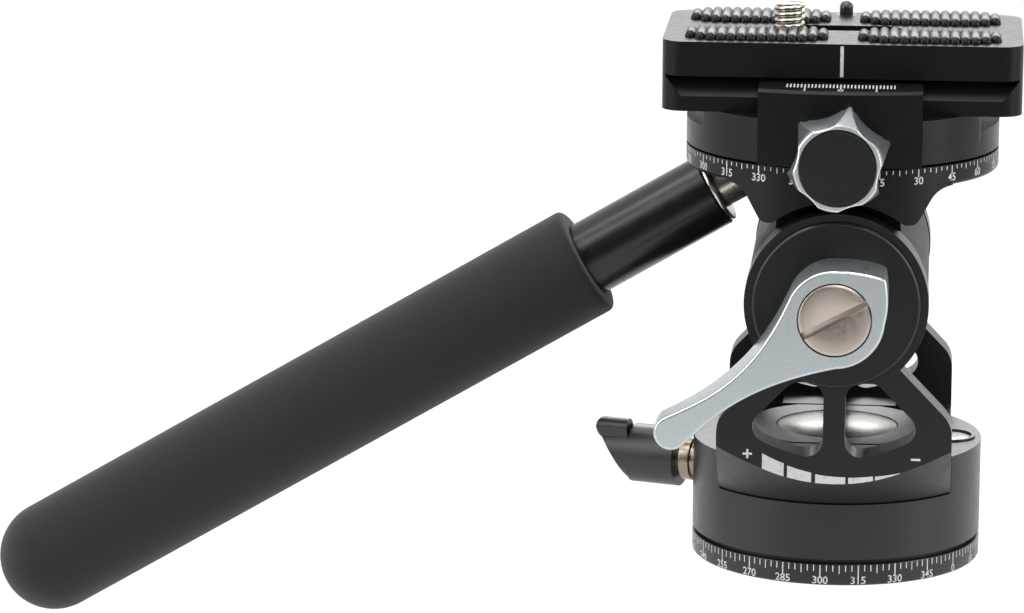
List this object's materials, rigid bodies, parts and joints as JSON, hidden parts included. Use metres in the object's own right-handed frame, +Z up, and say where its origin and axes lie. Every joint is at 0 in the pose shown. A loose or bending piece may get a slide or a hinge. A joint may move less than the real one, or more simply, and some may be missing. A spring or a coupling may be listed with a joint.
{
  "type": "fluid video head",
  "caption": "Compact fluid video head with a pan base, a lever-damped tilt drum, a foam-gripped pan handle and a panning clamp that holds a quick-release plate.",
  "frame": {"origin": "centre of the base's underside, at the mouth of the tripod thread", "axes": "+Z up along the pan axis, +X the way the lens points with the handle towards -X, -Y the side of the drag lever and the clamp knob"},
  "size_m": [0.2158, 0.0898, 0.1357],
  "materials": {
    "black_anodised": "satin",
    "silver_anodised": "matte",
    "stainless": "satin",
    "nickel": "polished",
    "steel": "plain",
    "bronze": "plain",
    "black_tube": "satin",
    "foam": "matte foam",
    "rubber": "matte",
    "black_plastic": "satin",
    "friction_plastic": "plain",
    "vial": "clear"
  },
  "bodies": {
    "base": {"base_dial": "black_anodised", "tripod_bush": "stainless", "pan_spindle": "steel", "pan_nut": "steel", "pan_washer": "friction_plastic"},
    "pan": {"pan_housing": "black_anodised", "pan_cap": "nickel", "front_upright": "black_anodised", "rear_upright": "black_anodised", "upright_screws": "steel", "front_cap": "black_anodised", "rear_cap": "black_anodised", "tilt_shaft": "steel", "lever_screw": "stainless", "brake_shoe": "bronze", "level_bezel": "black_plastic", "level_vial": "vial"},
    "pan_lock": {"pan_lock_knob": "black_plastic", "pan_lock_stud": "stainless"},
    "tilt": {"tilt_bracket": "black_anodised", "tilt_bushes": "bronze", "friction_discs": "friction_plastic", "handle_stud": "stainless", "handle_tube": "black_tube", "handle_grip": "foam", "clamp_pivot": "steel", "clamp_washer": "friction_plastic"},
    "lever": {"drag_lever": "silver_anodised"},
    "clamp": {"clamp_body": "black_anodised", "guide_pins": "steel", "jaw_springs": "steel"},
    "jaw": {"clamp_jaw": "black_anodised"},
    "knob": {"clamp_knob": "silver_anodised", "knob_cap": "black_plastic", "clamp_screw": "steel"},
    "plate": {"qr_plate": "black_anodised", "rubber_pads": "rubber", "pin_bush": "steel", "pin_spring": "steel"},
    "retainer": {"screw_retainer": "friction_plastic"},
    "camera_screw": {"camera_screw": "stainless"},
    "video_pin": {"video_pin": "black_plastic"}
  },
  "joints": [
    {"name": "pan", "type": "hinge", "parent": "base", "child": "pan", "pos_m": [0, 0, 0.015], "axis": [0, 0, 1], "continuous": true},
    {"name": "pan_lock_turn", "type": "hinge", "parent": "pan", "child": "pan_lock", "pos_m": [-0.02853, 0.00927, 0.01645], "axis": [-0.9511, 0.309, 0], "range_deg": [0, 150]},
    {"name": "tilt", "type": "hinge", "parent": "pan", "child": "tilt", "pos_m": [0, 0, 0.06], "axis": [0, 1, 0], "range_deg": [-15, 70]},
    {"name": "lever_turn", "type": "hinge", "parent": "pan", "child": "lever", "pos_m": [0, -0.044, 0.06], "axis": [0, -1, 0], "range_deg": [0, 112]},
    {"name": "clamp_pan", "type": "hinge", "parent": "tilt", "child": "clamp", "pos_m": [0, 0, 0.09], "axis": [0, 0, 1], "continuous": true},
    {"name": "jaw_slide", "type": "slide", "parent": "clamp", "child": "jaw", "axis": [0, -1, 0], "range_m": [0, 0.004]},
    {"name": "knob_turn", "type": "hinge", "parent": "jaw", "child": "knob", "pos_m": [0, -0.04, 0.09], "axis": [0, -1, 0], "range_deg": [0, 2057.2]},
    {"name": "plate_slide", "type": "slide", "parent": "clamp", "child": "plate", "axis": [1, 0, 0], "range_m": [-0.015, 0.015]},
    {"name": "screw_slide", "type": "slide", "parent": "plate", "child": "retainer", "axis": [1, 0, 0], "range_m": [0, 0.0195]},
    {"name": "screw_turn", "type": "hinge", "parent": "retainer", "child": "camera_screw", "pos_m": [-0.0113, 0, 0.105], "axis": [0, 0, 1], "continuous": true},
    {"name": "pin_press", "type": "slide", "parent": "plate", "child": "video_pin", "axis": [0, 0, -1], "range_m": [0, 0.002], "stiffness_N_per_m": 300, "deforming": ["pin_spring"]}
  ],
  "couplings": [
    {"joint": "knob_turn", "follows": "jaw_slide", "rad_per_m": 8976}
  ]
}
